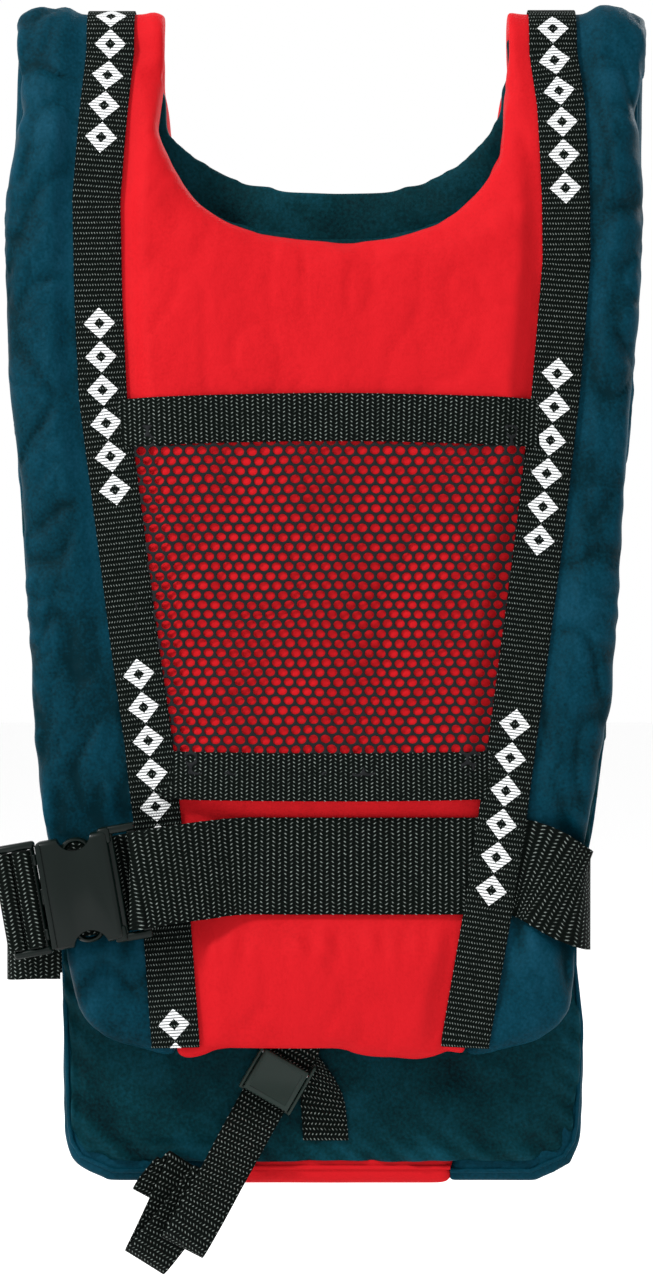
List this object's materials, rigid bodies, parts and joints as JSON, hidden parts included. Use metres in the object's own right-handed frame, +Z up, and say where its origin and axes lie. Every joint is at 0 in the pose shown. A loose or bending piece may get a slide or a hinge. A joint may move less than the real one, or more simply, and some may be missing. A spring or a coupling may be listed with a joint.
{
  "type": "foam buoyancy vest",
  "caption": "Pull-over foam buoyancy vest with red centre and navy sides, mesh pocket, webbing straps, waist belt with side-release buckle and crotch strap.",
  "frame": {"origin": "the inside of the shoulder fold, midway between the shoulders, where a hanger or the wearer's shoulders carry the vest", "axes": "+Z up along the vest's height, -Y out of the front panel, +X to the right as seen from the front"},
  "size_m": [0.337, 0.0883, 0.6621],
  "materials": {
    "foam": "matte",
    "red_nylon": "satin",
    "navy_nylon": "satin",
    "lining": "matte",
    "mesh": "matte",
    "webbing": "matte",
    "buckle_plastic": "satin",
    "steel": "satin"
  },
  "bodies": {
    "back": {"back_cover_centre": "red_nylon", "back_cover_left": "navy_nylon", "back_cover_right": "navy_nylon", "back_foam_centre": "foam", "back_foam_left": "foam", "back_foam_right": "foam", "back_lining": "lining", "back_shoulder_left": "navy_nylon", "back_shoulder_right": "navy_nylon", "back_strap_left": "webbing", "back_strap_right": "webbing", "belt_back": "webbing", "belt_keeper_left": "webbing", "belt_keeper_right": "webbing", "belt_side_left": "webbing", "belt_side_right": "webbing", "crotch_link": "webbing", "shoulder_ridge_left": "navy_nylon", "shoulder_ridge_right": "navy_nylon", "strap_ridge_left": "webbing", "strap_ridge_right": "webbing"},
    "front": {"belt_fold": "webbing", "belt_front": "webbing", "buckle_socket": "buckle_plastic", "cam_frame": "buckle_plastic", "cam_pin": "steel", "crotch_anchor": "webbing", "crotch_web": "webbing", "front_cover_centre": "red_nylon", "front_cover_left": "navy_nylon", "front_cover_right": "navy_nylon", "front_foam_centre": "foam", "front_foam_left": "foam", "front_foam_right": "foam", "front_lining": "lining", "front_shoulder_left": "navy_nylon", "front_shoulder_right": "navy_nylon", "front_strap_left": "webbing", "front_strap_right": "webbing", "pocket_band_bottom": "webbing", "pocket_band_top": "webbing", "pocket_mesh": "mesh", "strap_tail": "webbing"},
    "buckle_plug": {"buckle_plug": "buckle_plastic", "plug_webbing": "webbing"},
    "prong_upper": {"prong_upper": "buckle_plastic"},
    "prong_lower": {"prong_lower": "buckle_plastic"},
    "cam_lever": {"cam_lever": "buckle_plastic"}
  },
  "joints": [
    {"name": "shoulder_fold", "type": "hinge", "parent": "back", "child": "front", "pos_m": [0, 0, -0.004], "axis": [-1, 0, 0], "range_deg": [0, 20], "deforming": ["shoulder_ridge_left", "shoulder_ridge_right", "strap_ridge_left", "strap_ridge_right", "belt_side_left", "belt_side_right", "crotch_link"]},
    {"name": "buckle_release", "type": "slide", "parent": "front", "child": "buckle_plug", "axis": [-0.9848, 0, -0.1736], "range_m": [0, 0.036]},
    {"name": "prong_upper_flex", "type": "hinge", "parent": "buckle_plug", "child": "prong_upper", "pos_m": [-0.15136, -0.0435, -0.42614], "axis": [0, 1, 0], "range_deg": [0, 13]},
    {"name": "prong_lower_flex", "type": "hinge", "parent": "buckle_plug", "child": "prong_lower", "pos_m": [-0.14458, -0.0435, -0.46455], "axis": [0, -1, 0], "range_deg": [0, 13]},
    {"name": "cam_lift", "type": "hinge", "parent": "front", "child": "cam_lever", "pos_m": [-0.0215, -0.0042, -0.53607], "axis": [-0.866, 0, 0.5], "range_deg": [0, 75]}
  ],
  "couplings": [
    {"joint": "prong_upper_flex", "follows": "buckle_release", "rad_per_m": 6.1},
    {"joint": "prong_lower_flex", "follows": "buckle_release", "rad_per_m": 6.1}
  ]
}
